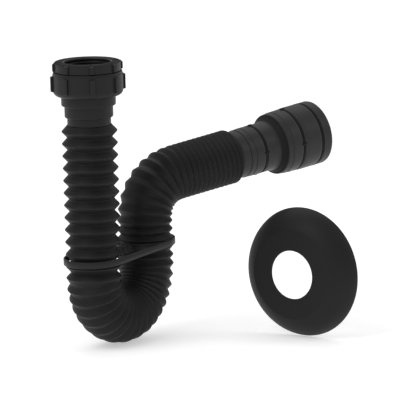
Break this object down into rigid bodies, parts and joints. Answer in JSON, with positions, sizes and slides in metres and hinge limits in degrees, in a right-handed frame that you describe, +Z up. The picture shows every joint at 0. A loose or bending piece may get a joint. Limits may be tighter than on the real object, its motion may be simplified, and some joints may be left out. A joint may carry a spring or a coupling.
{
  "type": "p trap",
  "caption": "Flexible corrugated P trap with a threaded union inlet, strapped water seal bend, stepped push-in outlet and a loose wall rosette.",
  "frame": {"origin": "centre of the inlet's top face, where the trap hangs on the tailpiece", "axes": "+Z up along the inlet leg, +X the way the outlet arm points seen from above"},
  "size_m": [0.2671, 0.1663, 0.227],
  "materials": {
    "fitting": "satin black moulded plastic",
    "hose": "satin black blow-moulded plastic",
    "seal": "matt black rubber",
    "strap": "satin black plastic band",
    "rosette": "half-gloss black plastic"
  },
  "bodies": {
    "inlet": {"inlet_cuff": "fitting", "flange_seal": "seal", "hose_inlet_top": "hose", "hose_inlet_mid": "hose"},
    "nut": {"union_nut": "fitting"},
    "ring_washer": {"ring_seal": "seal"},
    "ring": {"reducer_ring": "fitting"},
    "bend": {"hose_inlet_low": "hose", "hose_bend_in": "hose", "hose_bend_out": "hose", "hose_outlet_leg": "hose"},
    "swing": {"hose_elbow": "hose"},
    "arm": {"hose_arm_fixed": "hose", "hose_arm_sliding": "hose"},
    "outlet": {"outlet_adapter": "fitting", "seal_small": "seal", "seal_large": "seal", "seal_mouth": "seal"},
    "tie": {"strap": "strap", "strap_clip": "strap"},
    "plate": {"rosette": "rosette"}
  },
  "joints": [
    {"name": "nut_turn", "type": "hinge", "parent": "inlet", "child": "nut", "pos_m": [0, 0, -0.0176], "axis": [0, 0, 1], "continuous": true},
    {"name": "ring_lift", "type": "slide", "parent": "nut", "child": "ring_washer", "axis": [0, 0, 1], "range_m": [0, 0.00462]},
    {"name": "ring_turn", "type": "hinge", "parent": "ring_washer", "child": "ring", "pos_m": [0, 0, -0.0036], "axis": [0, 0, 1], "range_deg": [0, 720]},
    {"name": "leg_stretch", "type": "slide", "parent": "inlet", "child": "bend", "axis": [0, 0, -1], "range_m": [-0.02, 0.012], "deforming": ["hose_inlet_mid"]},
    {"name": "arm_swing", "type": "hinge", "parent": "bend", "child": "swing", "pos_m": [0.06766, 0.02463, -0.12934], "axis": [0, 0, 1], "range_deg": [-30, 30], "deforming": ["hose_elbow"]},
    {"name": "arm_tilt", "type": "hinge", "parent": "swing", "child": "arm", "pos_m": [0.08063, 0.02463, -0.10959], "axis": [0, -1, 0], "range_deg": [-12, 20], "deforming": ["hose_elbow"]},
    {"name": "arm_stretch", "type": "slide", "parent": "arm", "child": "outlet", "axis": [0.994, 0, 0.1097], "range_m": [0, 0.03], "deforming": ["hose_arm_sliding"]},
    {"name": "strap_slide", "type": "slide", "parent": "bend", "child": "tie", "axis": [0, 0, 1], "range_m": [-0.004, 0.012]},
    {"name": "rosette_slide", "type": "slide", "parent": "inlet", "child": "plate", "axis": [0.9511, 0.309, 0], "range_m": [-0.03, 0.03]}
  ],
  "couplings": [
    {"joint": "ring_lift", "follows": "ring_turn", "m_per_rad": 0.00036765}
  ]
}
